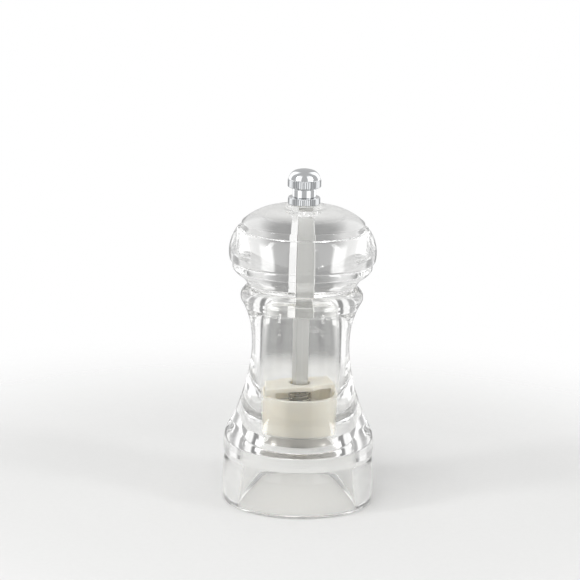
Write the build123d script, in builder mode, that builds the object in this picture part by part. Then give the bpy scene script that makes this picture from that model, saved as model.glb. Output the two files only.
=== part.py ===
from build123d import *
import os
from math import cos, pi, sin, sqrt

# Pepper mill with a clear acrylic barrel and head, a square shaft and a plastic burr mechanism.
# Millimetres, +Z up. The origin is the centre of the foot, on the table.
# The bridge of the grinder housing lies along X.

# Barrel, outside
barrel_height = 77.0  # table to the flat rim that the head turns on
foot_radius = 26.9  # widest ring of the foot
foot_roll = 0.8  # the foot draws in by this at the table
foot_height = 16.5  # table to the groove under the bead
groove_depth = 0.5  # groove behind the crest of the bead
bead_radius = 26.5
bead_height = 12.2  # groove to the lower end of the bell
bead_crest = 5.5  # groove to the crest
bead_overhang = 2.7  # crest past the lower end of the bell
waist_radius = 17.15
waist_drop = 20.5  # rim to the waist
bell_flare = 2.6  # growth from the waist to a point low on the bell
bell_flare_drop = 16.5
cove_flare = 1.0  # growth from the waist to a point high on the cove
cove_flare_rise = 8.3
rim_radius = 21.2
rim_height = 4.7
rim_roll = 2.6  # the rim draws in by this to its flat top
rim_crest_drop = 2.0  # rim top to the upper end of its steep side

# Barrel, inside
foot_wall = 6.6  # foot ring, from its widest to the outlet recess
recess_depth = 20.2  # outlet recess under the mechanism
chamber_radius = 12.6  # pepper chamber at the rim, widening down to the mechanism

# Head
head_gap = 0.1  # air between head and rim
plug_gap = 0.3  # plug to chamber wall
plug_length = 6.6
cove_hollow = 0.2  # hollow of the lowest moulding
edge_reach = 2.6  # seat to the edge between the two lower mouldings
edge_height = 3.7
ovolo_reach = 3.3
ovolo_height = 2.9
ovolo_bulge = 0.25
band_height = 2.9  # upright band under the fat ring
ring_lip = 1.0  # the fat ring stands out past the band by this
ring_height = 11.1
ring_bulge = 1.25
ring_draw = 2.4  # the ring's top lies this far inside its lower end
ledge_width = 1.5  # ring top to the riser under the dome
riser_height = 2.4
dome_reach = 12.2  # dome edge to the boss
dome_height = 5.0
dome_bulge = 1.15
dome_round = 0.6  # round between riser and dome
boss_reach = 3.1
boss_height = 1.3
boss_hollow = 0.3

# Knurled collar and nut
collar_radius = 5.65
collar_height = 2.6
knurl_ribs = 48
knurl_depth = 0.25
knurl_chamfer = 0.3
neck_radius = 4.1
neck_height = 2.75
grip_radius = 5.85
flare_height = 0.7
grip_height = 2.8
cap_height = 3.55
cap_ledge = 0.3  # the cap starts inside the knurl by this
crown_radius = 3.5  # flat crown of the cap
crown_drop = 0.65
nut_roof = 2.6  # solid cap over the thread

# Shaft
shaft_side = 4.65
shaft_round = 0.3  # round of the long edges
shaft_turn = 5.5  # degrees that the shaft's faces stand from the bridge at rest
shaft_top_drop = 1.1  # top of the square part below the head's top
thread_shoulder = 0.325  # step from the square down to the thread
thread_end_gap = 1.4  # thread to the end of the nut's bore

# Grinder housing
housing_radius = 14.2
housing_height = 14.15  # foot of the cup to its rim
rim_wall = 1.1  # housing wall at its rim, where the funnel starts
burr_wall = 2.2  # housing wall round the burr ring
burr_ledge = 0.6  # step that stops the burr ring
bridge_width = 12.4
bridge_thickness = 1.9
bridge_rise = 2.8  # bridge top above the rim
bridge_end_step = 0.175  # corners of the bridge inside the housing wall
scallop_radius = 12.4  # shallow round bites at two corners of the bridge
scallop_along = 10.8
scallop_across = 16.1
housing_edge = 0.5  # rounded edges

# Retaining ring under the housing
retainer_lift = 1.5  # recess ceiling to the ring
retainer_height = 2.7
retainer_chamfer = 0.4

# Burrs
burr_ring_height = 8.0
burr_mouth_wall = 1.4  # ring wall at its wide mouth
rotor_radius = 9.2
rotor_drop = 0.6  # rotor below the ring
rotor_height = 10.1
land_height = 4.0  # grinding land of the ring
land_slope = 0.4  # radius lost for each millimetre of height
grind_gap = 0.5
rotor_teeth = 14
ring_teeth = 20
tooth_depth = 0.8
ring_groove_half = 1.1  # half the width of a groove in the ring
rotor_groove_half = 1.3  # half the width of a groove in the rotor
tooth_skew = 0.35  # sideways lean of the teeth

# Spring, washers and screw
spring_wire = 0.85
spring_turns = 4
washer_width = 1.15  # thrust washer
washer_thickness = 0.6
rotor_washer_radius = 3.9
rotor_washer_thickness = 0.7
screw_radius = 1.25
screw_length = 7.0
screw_head_radius = 2.5
screw_head_height = 1.6
screw_slot_width = 0.6
screw_slot_depth = 0.8

# Clearances
housing_gap = 0.1  # housing to the barrel
retainer_gap = 0.02  # retaining ring pressed in the barrel
taper_gap = 0.05  # bridge to the foot of the chamber's taper
burr_gap = 0.02  # burr ring pressed in the housing
square_gap = 0.1  # square shaft to the head
rotor_gap = 0.03  # square shaft to the rotor
thread_gap = 0.08
screw_gap = 0.02
bore_gap = 0.3  # collar to thread
turning_gap = 0.45  # shaft corners to the bridge
washer_gap = 0.3  # shaft corners to the thrust washer
spring_gap = 0.2  # shaft corners to the spring
face_gap = 0.05  # faces that slide on each other
hub_margin = 0.4  # rotor hub past the spring
cut_over = 1.0  # cutters run past what they cut

# Heights and radii that follow
bead_top = foot_height + bead_height
groove_radius = bead_radius - groove_depth
bell_radius = bead_radius - bead_overhang
waist_height = barrel_height - waist_drop
rim_seat_radius = rim_radius - rim_roll
recess_radius = foot_radius - foot_wall
retainer_bottom = recess_depth + retainer_lift
housing_foot = retainer_bottom + retainer_height
housing_rim = housing_foot + housing_height
pocket_radius = housing_radius + housing_gap
bridge_top = housing_rim + bridge_rise
bridge_bottom = bridge_top - bridge_thickness
bridge_reach = sqrt(housing_radius**2 - (bridge_width / 2) ** 2) - bridge_end_step
pocket_top = bridge_top + taper_gap
burr_seat_radius = housing_radius - burr_wall
hopper_radius = burr_seat_radius - burr_ledge
burr_ring_radius = burr_seat_radius - burr_gap
burr_ring_top = retainer_bottom + burr_ring_height
rotor_bottom = retainer_bottom - rotor_drop
rotor_top = rotor_bottom + rotor_height
head_bottom = barrel_height + head_gap
plug_radius = chamber_radius - plug_gap
thread_radius = shaft_side / 2 - thread_shoulder
shaft_corner = shaft_side / sqrt(2) - shaft_round * (sqrt(2) - 1)
spring_inner = shaft_corner + spring_gap
spring_radius = spring_inner + spring_wire / 2
spring_outer = spring_inner + spring_wire
washer_top = bridge_bottom - face_gap
washer_bottom = washer_top - washer_thickness
os.makedirs("parts", exist_ok=True)


def knurl_outline(radius):
    """Points of a ribbed ring: crests at the radius, hollows one knurl depth inside it."""
    step = pi / knurl_ribs
    reach = [radius - knurl_depth * (i % 2) for i in range(2 * knurl_ribs)]
    return [(r * cos(i * step), r * sin(i * step)) for i, r in enumerate(reach)]


def chamfered_band(radius, low, high):
    """Closed half-section of a short cylinder with both edges chamfered."""
    inside = radius - knurl_chamfer
    lower, upper = low + knurl_chamfer, high - knurl_chamfer
    corners = [(0, low), (inside, low), (radius, lower), (radius, upper), (inside, high), (0, high)]
    Polyline(*corners, close=True)


def save(piece, name):
    """Label a finished piece and write it to its own file."""
    piece.label = name
    export_step(piece, f"parts/{name}.step")


# Clear acrylic barrel
with BuildPart() as acrylic_body:
    with BuildSketch(Plane.XZ):
        with BuildLine():
            ThreePointArc(
                (foot_radius - foot_roll, 0), (foot_radius, foot_height / 2), (groove_radius, foot_height)
            )
            ThreePointArc(
                (groove_radius, foot_height), (bead_radius, foot_height + bead_crest), (bell_radius, bead_top)
            )
            Spline(
                (bell_radius, bead_top),
                (waist_radius + bell_flare, waist_height - bell_flare_drop),
                (waist_radius, waist_height),
                (waist_radius + cove_flare, waist_height + cove_flare_rise),
                (rim_radius, barrel_height - rim_height),
            )
            ThreePointArc(
                (rim_radius, barrel_height - rim_height),
                (rim_radius, barrel_height - rim_crest_drop),
                (rim_seat_radius, barrel_height),
            )
            Polyline(
                (rim_seat_radius, barrel_height),
                (chamber_radius, barrel_height),
                (pocket_radius, pocket_top),
                (pocket_radius, recess_depth),
                (recess_radius, recess_depth),
                (recess_radius, 0),
                (foot_radius - foot_roll, 0),
            )
        make_face()
    revolve(axis=Axis.Z)
save(acrylic_body.part, "acrylic_body")

# Clear acrylic head with a square hole
head_edge = (rim_seat_radius + edge_reach, head_bottom + edge_height)
ovolo_top = (head_edge[0] + ovolo_reach, head_edge[1] + ovolo_height)
band_top = (ovolo_top[0], ovolo_top[1] + band_height)
ring_bottom = (band_top[0] + ring_lip, band_top[1])
ring_top = (ring_bottom[0] - ring_draw, ring_bottom[1] + ring_height)
riser_foot = (ring_top[0] - ledge_width, ring_top[1])
dome_edge = (riser_foot[0], riser_foot[1] + riser_height)
boss_foot = (dome_edge[0] - dome_reach, dome_edge[1] + dome_height)
boss_top = (boss_foot[0] - boss_reach, boss_foot[1] + boss_height)
head_top = boss_top[1]
plug_bottom = barrel_height - plug_length
hole_side = shaft_side + 2 * square_gap

with BuildPart() as acrylic_head:
    with BuildSketch(Plane.XZ) as head_section:
        with BuildLine():
            Polyline(
                (0, plug_bottom),
                (plug_radius, plug_bottom),
                (plug_radius, head_bottom),
                (rim_seat_radius, head_bottom),
            )
            SagittaArc((rim_seat_radius, head_bottom), head_edge, cove_hollow)
            SagittaArc(head_edge, ovolo_top, -ovolo_bulge)
            Polyline(ovolo_top, band_top, ring_bottom)
            SagittaArc(ring_bottom, ring_top, -ring_bulge)
            Polyline(ring_top, riser_foot, dome_edge)
            SagittaArc(dome_edge, boss_foot, -dome_bulge)
            SagittaArc(boss_foot, boss_top, boss_hollow)
            Polyline(boss_top, (0, head_top), (0, plug_bottom))
        make_face()
        fillet(head_section.vertices().sort_by_distance(dome_edge)[0], dome_round)
    revolve(axis=Axis.Z)
    with BuildSketch(Plane.XY.offset(plug_bottom)):
        Rectangle(hole_side, hole_side, rotation=shaft_turn)
    extrude(amount=head_top - plug_bottom, mode=Mode.SUBTRACT)
save(acrylic_head.part, "acrylic_head")

# Knurled collar on the head
collar_top = head_top + collar_height
with BuildPart() as knurled_collar:
    with BuildSketch(Plane.XZ):
        with BuildLine():
            chamfered_band(collar_radius, head_top, collar_top)
        make_face()
    revolve(axis=Axis.Z)
    with BuildSketch(Plane.XY.offset(head_top)):
        Polygon(*knurl_outline(collar_radius), align=None)
    extrude(amount=collar_height, mode=Mode.INTERSECT)
    with Locations((0, 0, collar_top)):
        Hole(thread_radius + bore_gap)
save(knurled_collar.part, "knurled_collar")

# Domed adjusting nut
nut_bottom = collar_top + face_gap
grip_bottom = nut_bottom + neck_height + flare_height
grip_top = grip_bottom + grip_height
nut_top = grip_top + cap_height
nut_bore_top = nut_top - nut_roof
cap_radius = grip_radius - cap_ledge
crown_height = nut_top - crown_drop

with BuildPart() as adjusting_nut:
    with BuildSketch(Plane.XZ):
        with BuildLine():
            chamfered_band(grip_radius, grip_bottom, grip_top)
        make_face()
    revolve(axis=Axis.Z)
    with BuildSketch(Plane.XY.offset(grip_bottom)):
        Polygon(*knurl_outline(grip_radius), align=None)
    extrude(amount=grip_height, mode=Mode.INTERSECT)
    with BuildSketch(Plane.XZ):
        with BuildLine():
            Polyline(
                (0, nut_bottom),
                (neck_radius, nut_bottom),
                (neck_radius, nut_bottom + neck_height),
                (grip_radius - knurl_chamfer, grip_bottom),
                (cap_radius - knurl_depth, grip_bottom),
                (cap_radius - knurl_depth, grip_top),
                (cap_radius, grip_top),
            )
            crown = TangentArc((0, nut_top), (crown_radius, crown_height), tangent=(1, 0))
            TangentArc((crown_radius, crown_height), (cap_radius, grip_top), tangent=crown % 1)
            Line((0, nut_top), (0, nut_bottom))
        make_face()
    revolve(axis=Axis.Z)
    with Locations((0, 0, nut_bottom)):
        Cylinder(
            thread_radius + thread_gap,
            nut_bore_top - nut_bottom,
            align=(Align.CENTER, Align.CENTER, Align.MIN),
            mode=Mode.SUBTRACT,
        )
save(adjusting_nut.part, "adjusting_nut")

# Square shaft with a threaded top end and a screw hole in its lower end
square_top = head_top - shaft_top_drop
thread_top = nut_bore_top - thread_end_gap
with BuildPart() as drive_shaft:
    with BuildSketch(Plane.XY.offset(rotor_bottom)):
        RectangleRounded(shaft_side, shaft_side, shaft_round, rotation=shaft_turn)
    extrude(amount=square_top - rotor_bottom)
    with BuildSketch(Plane.XY.offset(square_top)):
        Circle(thread_radius)
    extrude(amount=thread_top - square_top)
    chamfer(drive_shaft.edges().group_by(Axis.Z)[-1], knurl_chamfer)
    with Locations((0, 0, rotor_bottom)):
        Cylinder(
            screw_radius + screw_gap,
            screw_length + face_gap,
            align=(Align.CENTER, Align.CENTER, Align.MIN),
            mode=Mode.SUBTRACT,
        )
save(drive_shaft.part, "drive_shaft")

# Cream housing: a bridge on two legs, across the open top of a cup with a funnel in it
with BuildPart() as grinder_housing:
    with BuildSketch(Plane.XY.offset(burr_ring_top)):
        Rectangle(2 * bridge_reach, bridge_width)
        with Locations((scallop_along, -scallop_across), (-scallop_along, scallop_across)):
            Circle(scallop_radius, mode=Mode.SUBTRACT)
        Circle(shaft_corner + turning_gap, mode=Mode.SUBTRACT)
    extrude(amount=bridge_top - burr_ring_top)
    with BuildSketch(Plane.XY.offset(burr_ring_top)):
        Circle(hopper_radius)
    extrude(amount=bridge_bottom - burr_ring_top, mode=Mode.SUBTRACT)
    with BuildSketch(Plane.XZ):
        with BuildLine():
            Polyline(
                (burr_seat_radius, housing_foot),
                (housing_radius, housing_foot),
                (housing_radius, housing_rim),
                (housing_radius - rim_wall, housing_rim),
                (hopper_radius, burr_ring_top),
                (burr_seat_radius, burr_ring_top),
                close=True,
            )
        make_face()
    revolve(axis=Axis.Z)
    fillet(grinder_housing.edges().group_by(Axis.Z)[-1], housing_edge)
save(grinder_housing.part, "grinder_housing")

# Metal ring that is pressed into the barrel and holds the housing up
with BuildPart() as retaining_ring:
    with BuildSketch(Plane.XY.offset(retainer_bottom)):
        Circle(pocket_radius - retainer_gap)
        Circle(burr_seat_radius, mode=Mode.SUBTRACT)
    extrude(amount=retainer_height)
    chamfer(retaining_ring.edges().group_by(Axis.Z)[-1].sort_by(SortBy.RADIUS)[-1], retainer_chamfer)
save(retaining_ring.part, "retaining_ring")

# Burrs: a fixed ring and a turning cone, both with slanting teeth
land_bottom_radius = rotor_radius - rotor_drop * land_slope + grind_gap
land_top = retainer_bottom + land_height
land_top_radius = land_bottom_radius - land_height * land_slope
mouth_radius = burr_ring_radius - burr_mouth_wall
hub_radius = spring_outer + hub_margin
generator = Vector(-land_slope, 0, 1).normalized()
outward = Vector(1, 0, land_slope).normalized()
tooth_direction = (generator + Vector(0, tooth_skew, 0)).normalized()


def groove_plane(radius):
    """Plane across one tooth groove at mid height of the grinding land, facing along the groove."""
    middle = Vector(radius, 0, retainer_bottom + land_height / 2)
    return Plane(origin=middle, x_dir=outward, z_dir=tooth_direction)


def groove_outline(half_width, depth):
    """Five corners of a groove: its point at the depth, its back past the surface it is cut in."""
    back = -cut_over if depth > 0 else cut_over
    return [(depth, 0), (0, half_width), (back, half_width), (back, -half_width), (0, -half_width)]


with BuildPart() as ring_groove:
    with BuildSketch(groove_plane(land_bottom_radius - land_slope * land_height / 2)):
        with BuildLine():
            Polyline(*groove_outline(ring_groove_half, tooth_depth), close=True)
        make_face()
    extrude(amount=burr_ring_height, both=True)

with BuildPart() as burr_ring:
    with BuildSketch(Plane.XZ):
        with BuildLine():
            Polyline(
                (land_bottom_radius, retainer_bottom),
                (burr_ring_radius, retainer_bottom),
                (burr_ring_radius, burr_ring_top),
                (mouth_radius, burr_ring_top),
                (land_top_radius, land_top),
                close=True,
            )
        make_face()
    revolve(axis=Axis.Z)
    with PolarLocations(0, ring_teeth):
        add(ring_groove.part, mode=Mode.SUBTRACT)
save(burr_ring.part, "burr_ring")

with BuildPart() as rotor_groove:
    with BuildSketch(groove_plane(rotor_radius - land_slope * (rotor_drop + land_height / 2))):
        with BuildLine():
            Polyline(*groove_outline(rotor_groove_half, -tooth_depth), close=True)
        make_face()
    extrude(amount=rotor_height, both=True)

with BuildPart() as grinder_rotor:
    rotor_land = rotor_drop + land_height
    with BuildSketch(Plane.XZ):
        with BuildLine():
            Polyline(
                (0, rotor_bottom),
                (rotor_radius, rotor_bottom),
                (rotor_radius - land_slope * rotor_land, rotor_bottom + rotor_land),
                (hub_radius, rotor_top),
                (0, rotor_top),
                close=True,
            )
        make_face()
    revolve(axis=Axis.Z)
    with PolarLocations(0, rotor_teeth):
        add(rotor_groove.part, mode=Mode.SUBTRACT)
    with BuildSketch(Plane.XY.offset(rotor_bottom)):
        Rectangle(shaft_side + 2 * rotor_gap, shaft_side + 2 * rotor_gap, rotation=shaft_turn)
    extrude(amount=rotor_height, mode=Mode.SUBTRACT)
save(grinder_rotor.part, "grinder_rotor")

# Thrust washer under the bridge
with BuildPart() as thrust_washer:
    with BuildSketch(Plane.XY.offset(washer_bottom)):
        Circle(shaft_corner + washer_gap + washer_width)
        Circle(shaft_corner + washer_gap, mode=Mode.SUBTRACT)
    extrude(amount=washer_thickness)
save(thrust_washer.part, "thrust_washer")

# Coil spring between the washer and the rotor
spring_low = rotor_top + face_gap + spring_wire / 2
spring_rise = washer_bottom - face_gap - spring_wire / 2 - spring_low
spring_pitch = spring_rise / spring_turns
quarters = 4 * spring_turns


def coil_point(quarter):
    """Point on the wire's centre line after so many quarter turns."""
    angle = quarter * pi / 2
    height = spring_low + quarter * spring_pitch / 4
    return Vector(spring_radius * cos(angle), spring_radius * sin(angle), height)


def coil_direction(quarter):
    """Direction of the wire after so many quarter turns."""
    angle = quarter * pi / 2
    round_turn = 2 * pi * spring_radius
    return Vector(-round_turn * sin(angle), round_turn * cos(angle), spring_pitch).normalized()


with BuildPart() as rotor_spring:
    with BuildLine() as spring_path:
        for quarter in range(quarters):
            start, end = coil_point(quarter), coil_point(quarter + 1)
            leave, arrive = coil_direction(quarter), coil_direction(quarter + 1)
            chord = end - start
            along = chord.dot(leave + arrive)
            bend = 1 - leave.dot(arrive)
            reach = (sqrt(along**2 + 2 * bend * chord.dot(chord)) - along) / (2 * bend)
            first_knee, second_knee = start + leave * reach, end - arrive * reach
            middle = (first_knee + second_knee) / 2
            TangentArc(start, middle, tangent=leave)
            TangentArc(middle, end, tangent=(second_knee - first_knee).normalized())
    with BuildSketch(Plane(origin=coil_point(0), z_dir=coil_direction(0))):
        Circle(spring_wire / 2)
    sweep(path=spring_path.wires()[0])
save(rotor_spring.part, "rotor_spring")

samples_per_turn = 48
samples = [spring_path.wires()[0].position_at(i / (samples_per_turn * spring_turns))
           for i in range(samples_per_turn * spring_turns + 1)]
nearest = min(
    (samples[i] - samples[j]).length
    for i in range(len(samples))
    for j in range(i + samples_per_turn // 2, len(samples))
)
print(f"least gap between the spring's turns: {nearest - spring_wire:.3f} mm")

# Washer and screw that hold the rotor
with BuildPart() as rotor_washer:
    with BuildSketch(Plane.XY.offset(rotor_bottom)):
        Circle(rotor_washer_radius)
        Circle(screw_radius + screw_gap, mode=Mode.SUBTRACT)
    extrude(amount=-rotor_washer_thickness)
save(rotor_washer.part, "rotor_washer")

screw_seat = rotor_bottom - rotor_washer_thickness
with BuildPart() as rotor_screw:
    with BuildSketch(Plane.XY.offset(screw_seat)):
        Circle(screw_radius)
    extrude(amount=rotor_washer_thickness + screw_length)
    with BuildSketch(Plane.XY.offset(screw_seat)):
        Circle(screw_head_radius)
    extrude(amount=-screw_head_height)
    with BuildSketch(Plane.XY.offset(screw_seat - screw_head_height)):
        Rectangle(2 * screw_head_radius + cut_over, screw_slot_width)
    extrude(amount=screw_slot_depth, mode=Mode.SUBTRACT)
save(rotor_screw.part, "rotor_screw")
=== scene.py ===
# %% [markdown]
# # A clear pepper mill, dressed for a studio picture
# The mill is a real assembly: a hollow acrylic barrel, an acrylic head that turns on it, a square
# metal shaft, a small grinding mechanism in the foot and a chromed nut on top. Its CAD model is
# loaded first and fixes every size and place. This lesson then makes the surfaces that the eye
# sees, gives each one a finish, and lights them. Lengths are metres and +Z is up. Outlines are
# written in millimetres, as a workshop drawing has them, and made metres at the last moment.

import bpy
import numpy as np
from mathutils import Matrix


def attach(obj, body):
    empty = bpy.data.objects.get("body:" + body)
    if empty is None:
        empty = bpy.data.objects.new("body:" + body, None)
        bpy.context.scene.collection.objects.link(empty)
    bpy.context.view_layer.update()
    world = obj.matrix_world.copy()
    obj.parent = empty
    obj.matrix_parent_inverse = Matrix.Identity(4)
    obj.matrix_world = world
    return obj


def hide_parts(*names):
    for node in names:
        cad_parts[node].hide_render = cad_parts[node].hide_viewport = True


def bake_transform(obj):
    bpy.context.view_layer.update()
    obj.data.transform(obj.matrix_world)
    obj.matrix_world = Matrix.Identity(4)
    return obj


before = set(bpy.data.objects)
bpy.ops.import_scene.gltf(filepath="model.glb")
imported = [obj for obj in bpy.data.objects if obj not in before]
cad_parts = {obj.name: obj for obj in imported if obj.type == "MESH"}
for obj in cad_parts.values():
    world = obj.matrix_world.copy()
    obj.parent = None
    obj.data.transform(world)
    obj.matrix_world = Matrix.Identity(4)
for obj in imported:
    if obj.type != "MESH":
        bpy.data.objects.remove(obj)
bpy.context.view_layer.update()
MM = 0.001

# %% [markdown]
# ## The camera
# A long lens from about one metre away keeps the sides of the mill nearly parallel. The camera
# looks 13 degrees down, a little from the left of the mechanism's bridge, and leans by one degree.
# Its three axes are built by hand, because they are easier to read than Euler angles: "back"
# points from the mill to the lens, "right" lies level, and "up" is square to both.

# %% Camera axes, place and lens
azimuth, elevation, lean = np.radians([-12.5, 13.15, 1.3])
right = np.array([np.cos(azimuth), np.sin(azimuth), 0.0])
level_back = np.array([np.sin(azimuth), -np.cos(azimuth), 0.0])
back = level_back * np.cos(elevation) + np.array([0.0, 0.0, np.sin(elevation)])
up = np.cross(back, right)
aim_side, aim_height, distance = -4.18 * MM, 75.51 * MM, 1060 * MM
target = aim_side * right + np.array([0.0, 0.0, aim_height])

camera = bpy.data.objects.new("camera", bpy.data.cameras.new("camera"))
bpy.context.scene.collection.objects.link(camera)
camera.data.sensor_width = 36.0
camera.data.lens = 187.81
turned_right = right * np.cos(lean) + up * np.sin(lean)
turned_up = up * np.cos(lean) - right * np.sin(lean)
pose = np.eye(4)
pose[:3] = np.column_stack([turned_right, turned_up, back, target + distance * back])
camera.matrix_world = Matrix(pose)
bpy.context.scene.camera = camera
print("camera stands at, mm:", np.round(pose[:3, 3] / MM, 1))

# %% [markdown]
# ## From a grid of points to a mesh
# Every new piece here is a grid: rows run along an outline or a path, columns run round it. One
# function turns such a grid into a mesh. It can close the rows into a ring, as a washer needs, or
# draw the first or last row together into one point, as the top of a dome needs. The faces have to
# look outwards, and the sign of the enclosed volume tells whether they do.

# %% The mesh builder
SHARP = np.radians(32)


def surface(name, points, ring=False, poles=(False, False), hollow=None):
    """Mesh object from a grid of corners in millimetres.

    Face (i, j) joins the corners (i, j), (i, j+1), (i+1, j+1) and (i+1, j), and the columns close
    round. A pole gives a whole row one corner, so its faces lose a side and become triangles. The
    volume is a sixth of the sum of a.(b x c + c x d) over the faces a, b, c, d; below zero, the
    faces are turned round. It is counted from a point under the piece, which makes an open sheet
    face up. Edges that bend by more than SHARP stay crisp, the rest is smooth. Where hollow is
    given, it says how deep each corner lies in a pattern, and a finish can read it.
    """
    rows, columns, _ = points.shape
    index = np.arange(rows * columns).reshape(rows, columns)
    index[0] = index[0, 0] if poles[0] else index[0]
    index[-1] = index[-1, 0] if poles[1] else index[-1]
    index = np.vstack([index, index[:1]]) if ring else index
    index = np.hstack([index, index[:, :1]])
    face_corners = [index[:-1, :-1], index[:-1, 1:], index[1:, 1:], index[1:, :-1]]
    quads = np.stack(face_corners, axis=-1).reshape(-1, 4)
    corners = points.reshape(-1, 3) * MM
    below = np.array([0.0, 0.0, corners[:, 2].min() - 1.0])
    a, b, c, d = (corners[quads[:, k]] - below for k in range(4))
    volume = np.sum(a * (np.cross(b, c) + np.cross(c, d))) / 6
    quads = quads[:, ::-1] if volume < 0 else quads
    used, quads = np.unique(quads, return_inverse=True)
    quads = quads.reshape(-1, 4)
    keep = quads != np.roll(quads, -1, axis=1)
    starts = np.concatenate([[0], np.cumsum(keep.sum(axis=1))[:-1]])

    mesh = bpy.data.meshes.new(name)
    mesh.vertices.add(len(used))
    mesh.vertices.foreach_set("co", corners[used].ravel())
    mesh.loops.add(int(keep.sum()))
    mesh.loops.foreach_set("vertex_index", quads[keep])
    mesh.polygons.add(len(quads))
    mesh.polygons.foreach_set("loop_start", starts)
    mesh.update(calc_edges=True)
    mesh.validate()
    mesh.shade_smooth()
    mesh.set_sharp_from_angle(angle=SHARP)
    if hollow is not None:
        depth = np.broadcast_to(hollow, points.shape[:2]).ravel()[used]
        mesh.attributes.new("hollow", "FLOAT", "POINT").data.foreach_set("value", depth.astype(np.float32))
    piece = bpy.data.objects.new(name, mesh)
    bpy.context.scene.collection.objects.link(piece)
    closed = ring or all(poles)
    content = f"{abs(volume) / MM**3 / 1000:.2f} cubic centimetres" if closed else "an open sheet"
    print(f"{name}: {len(mesh.polygons)} faces, {content}")
    return piece


# %% [markdown]
# ## Outlines as complex numbers
# A turned piece is drawn by half of its section: the radius outwards and the height upwards. Both
# fit in one complex number, radius + height j, and then an arc is a multiplication by a turning
# number. Three helpers are enough: an arc through three points, an arc that stands off its chord,
# and a smooth curve through several points, for the bell of the barrel.

# %% Arcs and curves
ARC_POINTS, CURVE_POINTS = 90, 300


def arc(start, middle, end):
    """Points on the circle through three points.

    The centre follows from the ratio of the two chords. Each point is the start, turned about the
    centre by an even share of the whole angle, the way round that passes the middle.
    """
    ratio = (end - start) / (middle - start)
    centre = start + (middle - start) * (ratio - abs(ratio) ** 2) / (2j * ratio.imag)
    full = 2 * np.pi
    way = np.angle((middle - centre) / (start - centre)) % full
    sweep = np.angle((end - centre) / (start - centre)) % full
    sweep = sweep if way < sweep else sweep - full
    return centre + (start - centre) * np.exp(1j * np.linspace(0, sweep, ARC_POINTS))


def bulge(start, end, rise):
    """Arc whose middle stands off the chord by the rise, to the left of the way from start to end."""
    chord = end - start
    return arc(start, (start + end) / 2 + 1j * rise * chord / abs(chord), end)


def through(*knots):
    """Cubic curve through the knots with no jump in its bend.

    The parameter is the running chord length. The slopes at the inner knots make the second
    derivatives agree; the end slopes are those of the cubic through the four nearest knots.
    """
    p = np.array(knots)
    t = np.concatenate([[0], np.cumsum(np.abs(np.diff(p)))])
    h = np.diff(t)
    rise = np.diff(p) / h
    system = np.eye(len(p), dtype=complex)
    inner = np.arange(1, len(p) - 1)
    system[inner, inner - 1] = h[1:]
    system[inner, inner] = 2 * (h[:-1] + h[1:])
    system[inner, inner + 1] = h[:-1]
    wanted = np.empty(len(p), dtype=complex)
    wanted[inner] = 3 * (h[1:] * rise[:-1] + h[:-1] * rise[1:])
    for end, near in ((0, slice(None, 4)), (-1, slice(-4, None))):
        cubic = np.linalg.solve(np.vander(t[near]).astype(complex), p[near])
        wanted[end] = np.polyval(np.polyder(cubic), t[end])
    slope = np.linalg.solve(system, wanted)
    s = np.linspace(0, t[-1], CURVE_POINTS)
    k = np.clip(np.searchsorted(t, s) - 1, 0, len(h) - 1)
    u = (s - t[k]) / h[k]
    return (
        p[k] * (1 + 2 * u) * (1 - u) ** 2
        + p[k + 1] * (3 - 2 * u) * u**2
        + h[k] * slope[k] * u * (1 - u) ** 2
        - h[k] * slope[k + 1] * u**2 * (1 - u)
    )


quarter = arc(1 + 0j, np.exp(0.25j * np.pi), 1j)
print(f"a quarter of a circle of radius 1, walked in steps, is {np.abs(np.diff(quarter)).sum():.4f} long")

# %% [markdown]
# ## Soft edges
# No real edge is a line without width: acrylic is buffed, chrome rounds what it covers, and a
# moulded edge has a small radius. Light catches on that roundness, so it is worth modelling. A
# blur along the outline does it at once for every corner. The blurred outline is then thinned, so
# that long straight runs have few points and tight corners have many.

# %% The edge softener
SAMPLE = 0.03


def soften(outline, softness, longest=1.6, bend=np.radians(8)):
    """Closed outline with soft corners, thinned to the points that matter.

    The outline is sampled at even lengths, one SAMPLE apart. A Gaussian blur multiplies the term of
    wave number w in its Fourier series by exp(-(softness w)^2 / 2). The points kept are even in the
    sum of length over longest and turning over bend.
    """
    loop = np.append(outline, outline[0])
    length = np.concatenate([[0], np.cumsum(np.abs(np.diff(loop)))])
    count = int(length[-1] / SAMPLE)
    even = np.interp(np.linspace(0, length[-1], count, endpoint=False), length, loop)
    wave = 2 * np.pi * np.fft.fftfreq(count, length[-1] / count)
    soft = np.fft.ifft(np.fft.fft(even) * np.exp(-((softness * wave) ** 2) / 2))
    step = np.diff(np.append(soft, soft[0]))
    turning = np.abs(np.angle(step / np.roll(step, 1)))
    share = np.cumsum(np.abs(step) / longest + turning / bend)
    return np.interp(np.linspace(share[0], share[-1], int(share[-1]), endpoint=False), share, soft)


def joined(*runs):
    """One outline from runs of points, corner points among them."""
    return np.concatenate([np.atleast_1d(run) for run in runs])


def revolve(radius, height, angle):
    """Grid of corners of a turned piece: (radius cos angle, radius sin angle, height)."""
    radius, height, angle = np.broadcast_arrays(radius, height, angle)
    return np.stack([radius * np.cos(angle), radius * np.sin(angle), height], axis=-1)


def round_the_axis(count):
    """Evenly spaced angles of one full turn."""
    return np.linspace(0, 2 * np.pi, count, endpoint=False)


print("a softened 10 mm square keeps", len(soften(np.array([0, 10, 10 + 10j, 10j]), 0.3)), "points")

# %% [markdown]
# ## Nodes for finishes
# Each finish is a small node tree. One function adds a node: its options, its fixed values and its
# links are given together, so that a tree reads from top to bottom. Colours are written as the
# familiar sRGB hex values and turned to the linear values that the renderer counts with. Most values
# of a noise texture lie between 0.3 and 0.7, so a finish stretches this span to the range it needs.

# %% Colour and node helpers
NOISE_SPAN = {"From Min": 0.3, "From Max": 0.7}


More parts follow.
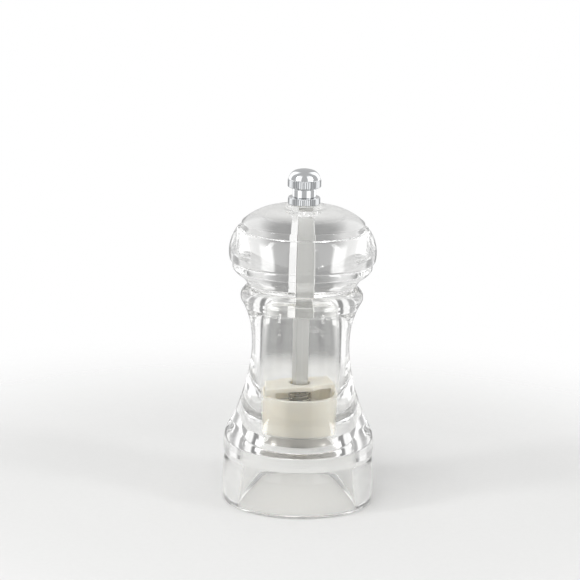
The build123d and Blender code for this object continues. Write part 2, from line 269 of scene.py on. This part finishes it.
def linear(code):
    """Linear RGBA of an sRGB hex colour: c / 12.92 near black, ((c + 0.055) / 1.055)^2.4 above."""
    c = np.array([int(code[k : k + 2], 16) for k in (1, 3, 5)]) / 255
    c = np.where(c <= 0.04045, c / 12.92, ((c + 0.055) / 1.055) ** 2.4)
    return (*c, 1.0)


def add(tree, kind, options=None, values=None, links=None):
    """Add a node of one kind, set its options and socket values, and link its inputs."""
    node = tree.nodes.new(kind)
    for name, value in (options or {}).items():
        setattr(node, name, value)
    for socket, value in (values or {}).items():
        node.inputs[socket].default_value = value
    for socket, source in (links or {}).items():
        tree.links.new(node.inputs[socket], source)
    return node


def finish(name):
    """A new empty material and its tree, with Object coordinates ready to use."""
    material = bpy.data.materials.new(name)
    material.use_nodes = True
    material.node_tree.nodes.clear()
    place = add(material.node_tree, "ShaderNodeTexCoord").outputs["Object"]
    return material, material.node_tree, place


def spread(size_mm):
    """Texture scale that repeats a pattern every so many millimetres."""
    return 1 / (size_mm * MM)


print(f"the grey #808080 reflects {linear('#808080')[0]:.1%} of the light")

# %% [markdown]
# ## Clear cast acrylic, turned and buffed
# The barrel and the head are thick clear acrylic. It bends light with an index of 1.49, so the wall
# acts as a strong lens and its edges gather the dark and bright parts of the studio. Buffing never
# leaves it quite true: a waviness of a few micrometres, some millimetres long, makes highlights
# wander a little. That is a bump of real height here, and very faint wipe marks vary the gloss.

# %% Acrylic
acrylic, tree, place = finish("cast_acrylic_buffed_clear")
waves = add(tree, "ShaderNodeTexNoise", values={"Scale": spread(11), "Detail": 1.0}, links={"Vector": place})
wipes = add(
    tree, "ShaderNodeMapping", values={"Scale": (spread(3), spread(3), spread(0.6))}, links={"Vector": place}
)
haze = add(
    tree, "ShaderNodeTexNoise", values={"Scale": 1.0, "Detail": 3.0}, links={"Vector": wipes.outputs[0]}
)
gloss = add(
    tree,
    "ShaderNodeMapRange",
    values={"From Min": 0.35, "From Max": 0.75, "To Min": 0.0, "To Max": 0.03},
    links={"Value": haze.outputs[0]},
)
wavy = add(
    tree,
    "ShaderNodeBump",
    values={"Strength": 1.0, "Distance": 0.012 * MM},
    links={"Height": waves.outputs[0]},
)
clear = add(
    tree,
    "ShaderNodeBsdfPrincipled",
    values={"Base Color": linear("#FDFDFC"), "Transmission Weight": 1.0, "IOR": 1.49},
    links={"Roughness": gloss.outputs[0], "Normal": wavy.outputs[0]},
)
add(tree, "ShaderNodeOutputMaterial", links={"Surface": clear.outputs[0]})
print(acrylic.name, "has", len(tree.nodes), "nodes")

# %% [markdown]
# ## Chrome plate on turned brass
# The nut and the collar are turned and then plated. Chrome is a slightly blue mirror, so nearly all
# that it shows is the studio. Fine polishing marks run round the turned faces, and they draw each
# reflection out a little. The hollows of the knurl get a darker grey, which is painted shade.

# %% Chrome
chrome, tree, place = finish("chrome_plate_polished")
rings = add(
    tree,
    "ShaderNodeMapping",
    values={"Scale": (spread(2), spread(2), spread(0.15))},
    links={"Vector": place},
)
marks = add(
    tree, "ShaderNodeTexNoise", values={"Scale": 1.0, "Detail": 3.0}, links={"Vector": rings.outputs[0]}
)
shine = add(
    tree,
    "ShaderNodeMapRange",
    values={**NOISE_SPAN, "To Min": 0.05, "To Max": 0.13},
    links={"Value": marks.outputs[0]},
)
tone = add(
    tree,
    "ShaderNodeMix",
    {"data_type": "RGBA"},
    {"A": linear("#D2D4D6"), "B": linear("#DEDFE0")},
    {"Factor": marks.outputs[0]},
)
# Painted shade: the chrome is mixed towards a darker grey in the knurl's hollows, by their depth.
depth = add(tree, "ShaderNodeAttribute", {"attribute_name": "hollow"})
knurl_tone_with_painted_shade = add(
    tree,
    "ShaderNodeMix",
    {"data_type": "RGBA"},
    {"B": linear("#A2A4A6")},
    {"Factor": depth.outputs["Fac"], "A": tone.outputs["Result"]},
)
metal = add(
    tree,
    "ShaderNodeBsdfPrincipled",
    values={"Metallic": 1.0},
    links={"Base Color": knurl_tone_with_painted_shade.outputs["Result"], "Roughness": shine.outputs[0]},
)
add(tree, "ShaderNodeOutputMaterial", links={"Surface": metal.outputs[0]})
print(chrome.name, "has", len(tree.nodes), "nodes")

# %% [markdown]
# ## Aluminium, drawn and turned
# The shaft is a square bar, pulled through a die, and every grain of the die leaves a hair line along
# its whole length. The ring that holds the mechanism is turned on a lathe, so its lines run round it,
# and it stays greyer, because it was never brushed. Real lines are a few hundredths of a millimetre
# apart, too fine for this picture, so they are drawn about half a millimetre apart, with finer ones
# between.

# %% Aluminium
aluminium = {}
for name, dark, pale, cell, dull_range in (
    ("aluminium_bar_drawn", "#D8D8D6", "#F1F1EF", (0.5, 0.5, 60), (0.46, 0.6)),
    ("aluminium_ring_turned", "#AAA8A3", "#C2BFB9", (8, 8, 0.4), (0.3, 0.45)),
):
    aluminium[name], tree, place = finish(name)
    drawn_out = add(
        tree, "ShaderNodeMapping", values={"Scale": [spread(size) for size in cell]}, links={"Vector": place}
    )
    lines = add(
        tree,
        "ShaderNodeTexNoise",
        values={"Scale": 1.0, "Detail": 4.0},
        links={"Vector": drawn_out.outputs[0]},
    )
    tone = add(
        tree,
        "ShaderNodeMix",
        {"data_type": "RGBA"},
        {"A": linear(dark), "B": linear(pale)},
        {"Factor": lines.outputs[0]},
    )
    dull = add(
        tree,
        "ShaderNodeMapRange",
        values={**NOISE_SPAN, "To Min": dull_range[0], "To Max": dull_range[1]},
        links={"Value": lines.outputs[0]},
    )
    grooves = add(
        tree,
        "ShaderNodeBump",
        values={"Strength": 0.5, "Distance": 0.02 * MM},
        links={"Height": lines.outputs[0]},
    )
    metal = add(
        tree,
        "ShaderNodeBsdfPrincipled",
        values={"Metallic": 1.0},
        links={
            "Base Color": tone.outputs["Result"],
            "Roughness": dull.outputs[0],
            "Normal": grooves.outputs[0],
        },
    )
    add(tree, "ShaderNodeOutputMaterial", links={"Surface": metal.outputs[0]})
    print(name, "has", len(tree.nodes), "nodes")

# %% [markdown]
# ## Cream acetal, injection moulded
# The mechanism is moulded in a cream plastic that slides well. It is waxy: light enters it and comes out
# again some millimetres away, which softens its shadows and lights the inside of its thin walls. The
# mould leaves a fine satin texture, and the melt's flow shows as a faint change of tone.

# %% Acetal
acetal, tree, place = finish("acetal_moulded_cream")
flow = add(tree, "ShaderNodeTexNoise", values={"Scale": spread(7), "Detail": 2.0}, links={"Vector": place})
grain = add(
    tree, "ShaderNodeTexNoise", values={"Scale": spread(0.4), "Detail": 2.0}, links={"Vector": place}
)
tone = add(
    tree,
    "ShaderNodeMix",
    {"data_type": "RGBA"},
    {"A": linear("#F3EBDB"), "B": linear("#F8F2E5")},
    {"Factor": flow.outputs[0]},
)
satin = add(
    tree,
    "ShaderNodeMapRange",
    values={**NOISE_SPAN, "To Min": 0.3, "To Max": 0.4},
    links={"Value": grain.outputs[0]},
)
texture = add(
    tree,
    "ShaderNodeBump",
    values={"Strength": 0.3, "Distance": 0.01 * MM},
    links={"Height": grain.outputs[0]},
)
plastic = add(
    tree,
    "ShaderNodeBsdfPrincipled",
    values={
        "IOR": 1.48,
        "Subsurface Weight": 0.7,
        "Subsurface Radius": (1.0, 0.95, 0.85),
        "Subsurface Scale": 3.0 * MM,
    },
    links={
        "Base Color": tone.outputs["Result"],
        "Roughness": satin.outputs[0],
        "Normal": texture.outputs[0],
    },
)
add(tree, "ShaderNodeOutputMaterial", links={"Surface": plastic.outputs[0]})
print(acetal.name, "has", len(tree.nodes), "nodes")

# %% [markdown]
# ## Two steels
# The spring is bright drawn wire with a trace of oil, so it is a warm grey. The washers and the
# screw are zinc plated: a cooler grey with a faint yellow and blue cloudiness from the passivation
# bath. Both are small, and a cloudy tone with a matching change of gloss is all that shows.

# %% Spring wire and zinc plate
steels = {}
for name, dark, pale, size, dull_range in (
    ("spring_steel_drawn_wire", "#A5A29B", "#D0CDC6", 0.8, (0.22, 0.34)),
    ("steel_zinc_plated", "#B4B7BA", "#CDC9B8", 1.5, (0.3, 0.45)),
):
    steels[name], tree, place = finish(name)
    cloud = add(
        tree, "ShaderNodeTexNoise", values={"Scale": spread(size), "Detail": 3.0}, links={"Vector": place}
    )
    tone = add(
        tree,
        "ShaderNodeMix",
        {"data_type": "RGBA"},
        {"A": linear(dark), "B": linear(pale)},
        {"Factor": cloud.outputs[0]},
    )
    dull = add(
        tree,
        "ShaderNodeMapRange",
        values={**NOISE_SPAN, "To Min": dull_range[0], "To Max": dull_range[1]},
        links={"Value": cloud.outputs[0]},
    )
    metal = add(
        tree,
        "ShaderNodeBsdfPrincipled",
        values={"Metallic": 1.0},
        links={"Base Color": tone.outputs["Result"], "Roughness": dull.outputs[0]},
    )
    add(tree, "ShaderNodeOutputMaterial", links={"Surface": metal.outputs[0]})
    print(name, "has", len(tree.nodes), "nodes")

# %% [markdown]
# ## The barrel
# The barrel is turned from one block. From the table upwards its outside is a wide foot, a round
# bead, a long hollow bell up to the narrow waist, a flare and a rim. Its inside is the tapered
# pepper chamber, a straight pocket for the mechanism and a wide outlet recess. The whole section is
# one closed outline, so the mesh is a ring with an inside and an outside, as clear pieces need.

# %% Barrel surface
def stand_in(piece, node, body, coat):
    """Give a piece its finish, and let it stand for a CAD node on a moving body."""
    piece.data.materials.append(coat)
    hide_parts(node)
    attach(piece, body)


barrel_outline = soften(
    joined(
        arc(26.1 + 0j, 26.9 + 8.25j, 26.0 + 16.5j),
        arc(26.0 + 16.5j, 26.5 + 22.0j, 23.8 + 28.7j),
        through(23.8 + 28.7j, 19.75 + 40.0j, 17.15 + 56.5j, 18.15 + 64.8j, 21.2 + 72.3j),
        arc(21.2 + 72.3j, 21.2 + 75.0j, 18.6 + 77.0j),
        [12.6 + 77.0j, 14.3 + 41.4j, 14.3 + 20.2j, 20.3 + 20.2j, 20.3 + 0j],
    ),
    softness=0.16,
)
angle = round_the_axis(256)
barrel = surface(
    "barrel_turned",
    revolve(barrel_outline.real[:, None], barrel_outline.imag[:, None], angle),
    ring=True,
)
stand_in(barrel, "acrylic_body", "barrel", acrylic)

# %% [markdown]
# ## The head
# The head is turned too: a plug that sits in the barrel, two small mouldings, an upright band, a fat
# round ring, a low dome and a boss for the collar. A square hole for the shaft runs right through it.
# The outline is the same kind as the barrel's, with the wall of the hole as its innermost run. Round
# the axis, that run's radius follows a square, and the change from square to round happens on the end
# faces. The square stands a few degrees off the bridge below, as the head came to rest in the picture.

# %% Head surface
HOLE = 4.85 / 2
SQUARE_WITHIN, ROUND_FROM = 1.02 * HOLE, 5.5
SHAFT_TURN = np.radians(5.5)
head_outline = soften(
    joined(
        [HOLE + 70.4j, 12.3 + 70.4j, 12.3 + 77.1j],
        bulge(18.6 + 77.1j, 21.2 + 80.8j, 0.2),
        bulge(21.2 + 80.8j, 24.5 + 83.7j, -0.25),
        [24.5 + 86.6j],
        bulge(25.5 + 86.6j, 23.1 + 97.7j, -1.25),
        [21.6 + 97.7j],
        arc(21.6 + 99.5j, 21.46 + 99.92j, 21.1 + 100.22j),
        bulge(21.1 + 100.22j, 9.4 + 105.1j, -1.12),
        bulge(9.4 + 105.1j, 6.3 + 106.4j, 0.3),
        [HOLE + 106.4j],
    ),
    softness=0.16,
)


def square_reach(angle):
    """Radius of a square with half side 1 at each angle: 1 over the larger of |cos| and |sin|."""
    return 1 / np.maximum(np.abs(np.cos(angle)), np.abs(np.sin(angle)))


radius, height = head_outline.real[:, None], head_outline.imag[:, None]
squareness = np.clip((ROUND_FROM - radius) / (ROUND_FROM - SQUARE_WITHIN), 0, 1)
radius = radius * (1 + squareness * (square_reach(angle - SHAFT_TURN) - 1))
head = surface("head_turned", revolve(radius, height, angle), ring=True)
stand_in(head, "acrylic_head", "head", acrylic)

# %% [markdown]
# ## The knurled collar and the nut
# A straight knurl is rolled into both, so that fingers can grip them. A triangle wave takes a quarter
# of a millimetre off the radius between the ribs, but only on the band that the knurling wheel
# touched. How deep each corner lies is kept with the mesh, so that the chrome can paint shade into the
# hollows.
# The nut's outline starts and ends on the axis: it is mirrored to a closed outline for softening,
# and half of it is kept.

# %% Knurl
RIBS, STEPS_A_RIB = 48, 8
KNURL_DEPTH = 0.25
rib_angle = round_the_axis(RIBS * STEPS_A_RIB)


def knurled(name, outline, low, high, crest, **closing):
    """Turned piece with ribs on the band from low to high.

    There the radius is no more than a triangle wave between the crest and a hollow one knurl depth
    inside it. The wave itself, 0 on a crest and 1 in a hollow, goes along with the mesh.
    """
    radius, height = outline.real[:, None], outline.imag[:, None]
    wave = np.abs((rib_angle * RIBS / (2 * np.pi) + 0.5) % 1 - 0.5) * 2
    on_band = (height > low) & (height < high) & (radius > crest - KNURL_DEPTH)
    ribbed = np.where(on_band, np.minimum(radius, crest - KNURL_DEPTH * wave), radius)
    return surface(name, revolve(ribbed, height, rib_angle), hollow=on_band * wave, **closing)


collar_outline = soften(
    np.array([2.3 + 106.4j, 5.35 + 106.4j, 5.65 + 106.7j, 5.65 + 108.7j, 5.35 + 109.0j, 2.3 + 109.0j]),
    softness=0.05,
    longest=0.5,
)
collar = knurled("collar_knurled", collar_outline, 106.4, 109.0, 5.65, ring=True)
stand_in(collar, "knurled_collar", "head", chrome)

# %% Nut surface
ON_AXIS = 0.02
nut_half = joined(
    [118.85j],
    arc(0.9 + 118.81j, 2.3 + 118.57j, 3.5 + 118.2j),
    arc(3.5 + 118.2j, 4.75 + 117.2j, 5.55 + 115.3j),
    [5.65 + 115.3j, 5.85 + 115.1j, 5.85 + 112.7j, 5.55 + 112.5j, 4.1 + 111.8j, 4.1 + 109.05j],
    [2.08 + 109.05j, 2.08 + 116.25j, 116.25j],
)
nut_outline = soften(joined(nut_half, -np.conj(nut_half[::-1])), softness=0.07, longest=0.5)
nut_outline = nut_outline[nut_outline.real > ON_AXIS]
nut_outline = joined([1j * nut_outline[0].imag], nut_outline, [1j * nut_outline[-1].imag])
nut = knurled("nut_domed", nut_outline, 112.5, 115.3, 5.85, poles=(True, True))
stand_in(nut, "adjusting_nut", "nut", chrome)

# %% [markdown]
# ## The square shaft
# One section is carried straight up: a square with soft corners. Above the head it steps down to a
# round end with a screw thread, M4 with a pitch of 0.7 mm, that the nut runs on. The thread is a
# ridge whose height follows the angle, so one turn of the angle lifts it by one pitch. A blind hole
# in the lower end takes the screw that holds the grinder.

# %% Square section and thread
SIDE = 4.65
PITCH, STEPS_A_PITCH = 0.7, 12
THREAD_RADIUS, THREAD_DEPTH = 2.0, 0.43
TIP_RADIUS, TIP_LENGTH = 1.6, 0.3
square_top, thread_top = 105.3, 114.85
corner = SIDE / 2 * (1 + 1j)
square = soften(corner * 1j ** np.arange(4), softness=0.22, longest=0.5, bend=np.radians(10))
square = square * np.exp(1j * SHAFT_TURN)
way_round = np.exp(1j * np.angle(square))
thread_height = np.arange(square_top, thread_top - TIP_LENGTH, PITCH / STEPS_A_PITCH)[:, None]
ridge = np.abs((thread_height / PITCH - np.angle(square) / (2 * np.pi)) % 1 - 0.5) * 2
thread = (THREAD_RADIUS - THREAD_DEPTH * (1 - ridge)) * way_round
print(f"the thread has {np.ptp(thread_height) / PITCH:.1f} turns in {len(thread)} rows")

# %% Shaft surface
SCREW_RADIUS, SCREW_TOP = 1.27, 28.15
CHAMFER_SHARE, CHAMFER = 0.97, 0.08
shaft_low, shaft_middle = 21.1, 60.0
axis, tip = 0 * way_round, TIP_RADIUS * way_round
screw_hole, end_face = SCREW_RADIUS * way_round, CHAMFER_SHARE * square
section = np.vstack(
    [axis, screw_hole, screw_hole, end_face, square, square, square, end_face, thread, tip, axis]
)
level = joined(
    [SCREW_TOP, SCREW_TOP, shaft_low, shaft_low, shaft_low + CHAMFER],
    [shaft_middle, square_top - CHAMFER, square_top],
    thread_height[:, 0],
    [thread_top, thread_top],
)
shaft = surface(
    "shaft_drawn",
    np.stack([section.real, section.imag, np.broadcast_to(level[:, None], section.shape)], axis=-1),
    poles=(True, True),
)
stand_in(shaft, "drive_shaft", "spindle", aluminium["aluminium_bar_drawn"])

# %% [markdown]
# ## The coil spring
# A round wire is carried along a helix. The helix has a constant radius and climbs evenly; at each
# of its points the wire's circle lies in the plane square to the way of the wire. The spring stands
# on the grinder and pushes against the washer under the bridge. Its mesh is fixed in place and
# follows neither body.

# %% Spring surface
WIRE, WIRE_SIDES = 0.85, 20
COIL_RADIUS = 3.789
TURNS, STEPS_A_TURN = 4, 56
spring_low, spring_high = 31.25, 38.75
turn = np.linspace(0, TURNS * 2 * np.pi, TURNS * STEPS_A_TURN + 1)[:, None]
climb = (spring_high - spring_low - WIRE) / (TURNS * 2 * np.pi)
centre = np.stack(
    [COIL_RADIUS * np.cos(turn), COIL_RADIUS * np.sin(turn), spring_low + WIRE / 2 + climb * turn], axis=-1
)
outward = np.stack([np.cos(turn), np.sin(turn), 0 * turn], axis=-1)
forward = np.stack([-COIL_RADIUS * np.sin(turn), COIL_RADIUS * np.cos(turn), climb + 0 * turn], axis=-1)
forward = forward / np.linalg.norm(forward, axis=-1, keepdims=True)
across = np.cross(forward, outward)
around = round_the_axis(WIRE_SIDES)[None, :, None]
wire = centre + WIRE / 2 * (outward * np.cos(around) + across * np.sin(around))
ends = np.repeat(centre, WIRE_SIDES, axis=1)
spring = surface("spring_wound", np.concatenate([ends[:1], wire, ends[-1:]]), poles=(True, True))
spring.data.materials.append(steels["spring_steel_drawn_wire"])
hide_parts("rotor_spring")
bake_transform(spring)

# %% [markdown]
# ## The mechanism
# The housing, its ring, the burrs, the washers and the screw have the right shape in the CAD model
# already, soft edges included. They keep their meshes and only get better finishes.

# %% Finishes for the CAD pieces
coats = {
    "grinder_housing": acetal,
    "retaining_ring": aluminium["aluminium_ring_turned"],
    "burr_ring": acetal,
    "grinder_rotor": acetal,
    "thrust_washer": steels["steel_zinc_plated"],
    "rotor_washer": steels["steel_zinc_plated"],
    "rotor_screw": steels["steel_zinc_plated"],
}
for node, coat in coats.items():
    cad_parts[node].material_slots[0].material = coat
    print(node, "wears", coat.name)

# %% [markdown]
# ## The floor
# A round pale floor takes the shadow. Towards its edge it fades out, so that no horizon line cuts
# through the clear walls. Seen from below it is clear as well, which lets a camera look up at the
# mechanism.

# %% Floor
FLOOR_EDGE, FLOOR_LEVEL = 260.0, -0.2
FLOOR_RINGS, FLOOR_SPOKES = 24, 96
ring_radius = np.linspace(0, FLOOR_EDGE, FLOOR_RINGS)[:, None]
floor_points = revolve(ring_radius, FLOOR_LEVEL, round_the_axis(FLOOR_SPOKES))
floor = surface("floor", floor_points, poles=(True, False))

# %% Pale paper
FADE_FROM, FADE_TO = 90, 240
paint, tree, place = finish("paper_pale_matt")
reach = add(tree, "ShaderNodeVectorMath", {"operation": "LENGTH"}, links={0: place})
fade = add(
    tree,
    "ShaderNodeMapRange",
    {"interpolation_type": "SMOOTHSTEP"},
    {"From Min": FADE_FROM * MM, "From Max": FADE_TO * MM},
    {"Value": reach.outputs["Value"]},
)
under = add(tree, "ShaderNodeNewGeometry")
hidden = add(
    tree,
    "ShaderNodeMath",
    {"operation": "MAXIMUM"},
    links={0: fade.outputs[0], 1: under.outputs["Backfacing"]},
)
fibre = add(tree, "ShaderNodeTexNoise", values={"Scale": spread(2), "Detail": 3.0}, links={"Vector": place})
tone = add(
    tree,
    "ShaderNodeMix",
    {"data_type": "RGBA"},
    {"A": linear("#F1F1F0"), "B": linear("#F5F5F4")},
    {"Factor": fibre.outputs[0]},
)
matt = add(tree, "ShaderNodeBsdfDiffuse", links={"Color": tone.outputs["Result"]})
nothing = add(tree, "ShaderNodeBsdfTransparent")
mixed = add(
    tree, "ShaderNodeMixShader", links={0: hidden.outputs[0], 1: matt.outputs[0], 2: nothing.outputs[0]}
)
add(tree, "ShaderNodeOutputMaterial", links={"Surface": mixed.outputs[0]})
floor.data.materials.append(paint)
print(paint.name, "has", len(tree.nodes), "nodes")

# %% [markdown]
# ## The studio
# Clear and chromed things only show what stands round them, so the studio is the real subject here.
# It is made in the world's node tree, from the direction of each ray: the angle round the mill gives
# upright boards and panels, and the height of the direction, from -1 to 1, gives their upper and lower
# ends. Smooth steps keep every edge soft, as large lamps behind paper are.

# %% Directions
FACING = np.arctan2(back[1], back[0])
world = bpy.data.worlds.new("studio")
bpy.context.scene.world = world
world.use_nodes = True
tree = world.node_tree
tree.nodes.clear()
look = add(tree, "ShaderNodeTexCoord").outputs["Generated"]
east, north, rise = add(tree, "ShaderNodeSeparateXYZ", links={0: look}).outputs
round_angle = add(tree, "ShaderNodeMath", {"operation": "ARCTAN2"}, links={0: north, 1: east}).outputs[0]
print(f"the camera stands {np.degrees(FACING):.1f} degrees round the mill")

# %% [markdown]
# Each thing in the studio starts as a mask, which is 1 where it stands and 0 elsewhere. A ring of equal
# upright things is a smooth step of cos(count (angle - first)): so many of them stand in a full turn,
# one of them at the first angle, which is given from the camera's side. The ends of things are smooth
# steps of the height, and such a step falls where its second limit is the lower one. The product of
# two masks is 1 only where both are.

# %% Masks
edges = {
    "overhead": (rise, 0.75, 0.95),
    "upper": (rise, 0.3, 0.7),
    "above_sill": (rise, 0.18, 0.24),
    "below_lintel": (rise, 0.42, 0.36),
}
for name, count, turn_deg, low, high in (
    ("sides", 2, 90, -0.3, 0.6),
    ("front", 1, 0, 0.0, 0.5),
    ("lanes", 6, 0, 0.1, 0.85),
    ("cards", 2, 0, 0.55, 0.9),
    ("columns", 8, 22.5, 0.65, 0.9),
    ("panels", 4, 45, -0.1, 0.4),
):
    lag = -count * (FACING + np.radians(turn_deg))
    phase = add(tree, "ShaderNodeMath", {"operation": "MULTIPLY_ADD"}, {1: count, 2: lag}, {0: round_angle})
    wave = add(tree, "ShaderNodeMath", {"operation": "COSINE"}, links={0: phase.outputs[0]})
    edges[name] = wave.outputs[0], low, high
masks = {}
for name, (value, low, high) in edges.items():
    soft_step = add(
        tree,
        "ShaderNodeMapRange",
        {"interpolation_type": "SMOOTHSTEP"},
        {"From Min": low, "From Max": high},
        {"Value": value},
    )
    masks[name] = soft_step.outputs[0]
for name, first, second in (("row", "above_sill", "below_lintel"), ("windows", "row", "columns")):
    both = {0: masks[first], 1: masks[second]}
    masks[name] = add(tree, "ShaderNodeMath", {"operation": "MULTIPLY"}, links=both).outputs[0]
print("masks:", ", ".join(masks))

# %% [markdown]
# Then tones are laid over one another, like sheets of paper. Each row of a recipe names a new tone, its
# mask, the tone where the mask is 0, the tone that comes over it where the mask is 1, and the way that
# the two meet. Through the acrylic a tent of pale boards is seen. Six dark lanes between the boards draw
# the lines along the edges of the mill. Two wide grey cards, one behind the mill and one in front of
# it, give the clear walls a tone of their own, so that the shaft stands out from them. Eight small
# windows, 11 to 24 degrees up, make the bright patches in the head.

# %% The tent of boards
tent_recipe = (
    ("side_boards", "sides", 0.75, 0.85, "MIX"),
    ("all_boards", "front", "side_boards", 0.9, "MIX"),
    ("boards_and_lanes", "lanes", "all_boards", 0.2, "MIX"),
    ("tent_wall", "cards", "boards_and_lanes", 0.32, "MIX"),
    ("wall_and_windows", "windows", "tent_wall", 1.05, "MIX"),
    ("tent", "overhead", "wall_and_windows", 0.85, "MIX"),
)
print("the tent has", len(tent_recipe), "layers")

# %% [markdown]
# The Light Path node tells which kind of ray asks. Its Diffuse Depth counts the matt surfaces that a ray
# has met and its Glossy Depth the mirrors, so the pieces inside the acrylic can have lamps of their own.
# The cream housing is lit by two broad side panels and a little from above, which makes it look round.
# Metal inside the acrylic sees the tent somewhat brighter, because the thick walls take light away.
# Chrome, and the outer gloss of the acrylic, mirrors four tall panels with grey gaps between them,
# which keeps their outlines visible on white. Matt things outside, such as the floor, get an even
# grey, and the camera itself sees plain white.

# %% Light for each kind of ray
masks.update(add(tree, "ShaderNodeLightPath").outputs.items())
ray_recipe = (
    ("clear_view", "Glossy Depth", "tent", 1.35, "MULTIPLY"),
    ("side_panels", "sides", 0.3, 3.7, "MIX"),
    ("on_matt", "upper", "side_panels", 1.0, "MIX"),
    ("through_acrylic", "Diffuse Depth", "clear_view", "on_matt", "MIX"),
    ("tall_panels", "panels", 0.62, 1.6, "MIX"),
    ("on_metal", "overhead", "tall_panels", 0.62, "MIX"),
    ("outside", "Is Glossy Ray", 0.6, "on_metal", "MIX"),
    ("around_mill", "Is Transmission Ray", "outside", "through_acrylic", "MIX"),
    ("seen", "Is Camera Ray", "around_mill", 1.0, "MIX"),
)
tones = {}
for name, mask, base, cover, way in tent_recipe + ray_recipe:
    sheets = {"A": base, "B": cover}
    linked = {socket: tones[tone] for socket, tone in sheets.items() if tone in tones}
    fixed = {socket: (tone, tone, tone, 1.0) for socket, tone in sheets.items() if socket not in linked}
    options = {"data_type": "RGBA", "blend_type": way}
    layer = add(tree, "ShaderNodeMix", options, fixed, {"Factor": masks[mask], **linked})
    tones[name] = layer.outputs["Result"]
sky = add(tree, "ShaderNodeBackground", values={"Strength": 1.0}, links={"Color": tones["seen"]})
add(tree, "ShaderNodeOutputWorld", links={"Surface": sky.outputs[0]})
print("world nodes:", len(tree.nodes))

# %% [markdown]
# Three flat lamps add what the world can't give. Two tall strips stand beside the camera. They are
# narrow and bright, because acrylic mirrors only a twenty-fifth of what meets it and still needs white
# glints. A soft box overhead gives the floor its shadow. Mirrors don't see it, so that no bright square
# shows on the chrome.

# %% Lamps
def flat_lamp(name, turn_deg, rise_deg, width, height, radiance):
    """Area lamp one metre from the mill, turned from the camera's side and raised, facing the mill.

    A flat lamp of even brightness sends out pi times its radiance from each square metre.
    """
    lamp = bpy.data.lights.new(name, "AREA")
    lamp.shape = "RECTANGLE"
    lamp.size, lamp.size_y = width, height
    lamp.energy = np.pi * radiance * width * height
    a, e = FACING + np.radians(turn_deg), np.radians(rise_deg)
    out = np.array([np.cos(a) * np.cos(e), np.sin(a) * np.cos(e), np.sin(e)])
    level_axis = np.array([-np.sin(a), np.cos(a), 0.0])
    mill_middle = np.array([0, 0, 60 * MM])
    pose = np.eye(4)
    pose[:3] = np.column_stack([level_axis, np.cross(out, level_axis), out, out + mill_middle])
    light = bpy.data.objects.new(name, lamp)
    light.matrix_world = Matrix(pose)
    bpy.context.scene.collection.objects.link(light)
    print(f"{name}: {lamp.energy:.2f} W")
    return light


flat_lamp("strip_left", -62, 32, width=0.14, height=0.5, radiance=7.0)
flat_lamp("strip_right", 62, 32, width=0.14, height=0.5, radiance=5.6)
flat_lamp("softbox_top", -25, 66, width=0.5, height=0.4, radiance=4.0).visible_glossy = False
bpy.context.scene.view_settings.view_transform = "Standard"

# %% [markdown]
# A ray that enters thick acrylic is turned back inside its walls many times before it gets out. Blender
# stops at four mirror-like bounces unless it is told otherwise, and then leaves black spots in the
# corners of the barrel and the head. A higher limit lets these rays find their way.

# %% Bounces
limits = bpy.context.scene.cycles
limits.max_bounces = limits.transmission_bounces = 32
limits.glossy_bounces = 16
print("a ray may bounce", limits.max_bounces, "times")
